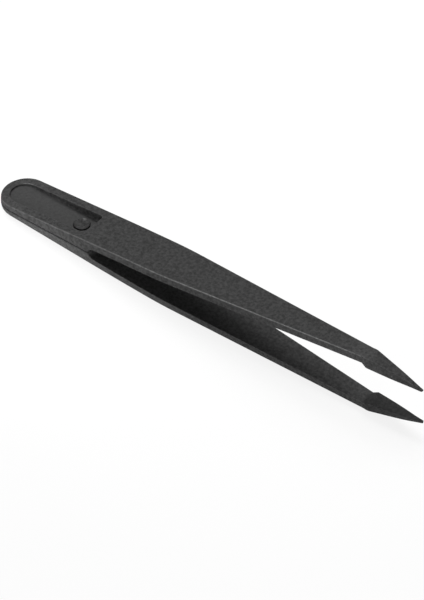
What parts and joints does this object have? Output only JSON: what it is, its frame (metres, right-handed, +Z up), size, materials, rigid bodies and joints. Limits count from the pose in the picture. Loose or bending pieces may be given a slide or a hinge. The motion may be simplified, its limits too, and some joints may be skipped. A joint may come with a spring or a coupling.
{
  "type": "anti-static plastic tweezers",
  "caption": "Moulded black anti-static tweezers: flat tapering spring arms on a round-ended heel with a joining pin, closing to pointed arrowhead tips.",
  "frame": {"origin": "bottom centre of the box round the open tool, lying on the flat front of its lower arm", "axes": "+X from the heel towards the tips, +Y across the arms, +Z up from the surface the tool lies on"},
  "size_m": [0.1152, 0.0112, 0.0155],
  "materials": {
    "moulding": "fine-grained matte carbon-filled plastic, soft sheen along the moulded edges",
    "pin": "smoother matte carbon-filled plastic, staked flat"
  },
  "bodies": {
    "heel": {"upper_heel": "moulding", "lower_heel": "moulding", "joining_pin": "pin"},
    "upper_arm": {"upper_arm": "moulding"},
    "lower_arm": {"lower_arm": "moulding"}
  },
  "joints": [
    {"name": "upper_flex", "type": "hinge", "parent": "heel", "child": "upper_arm", "pos_m": [-0.02375, 0, 0.00634], "axis": [0, 1, 0], "range_deg": [0, 3.15], "stiffness_Nm_per_rad": 0.8},
    {"name": "lower_flex", "type": "hinge", "parent": "heel", "child": "lower_arm", "pos_m": [-0.02341, 0, 0.0009], "axis": [0, -1, 0], "range_deg": [0, 3.15], "stiffness_Nm_per_rad": 0.8}
  ],
  "couplings": [
    {"joint": "lower_flex", "follows": "upper_flex", "ratio": 1}
  ]
}
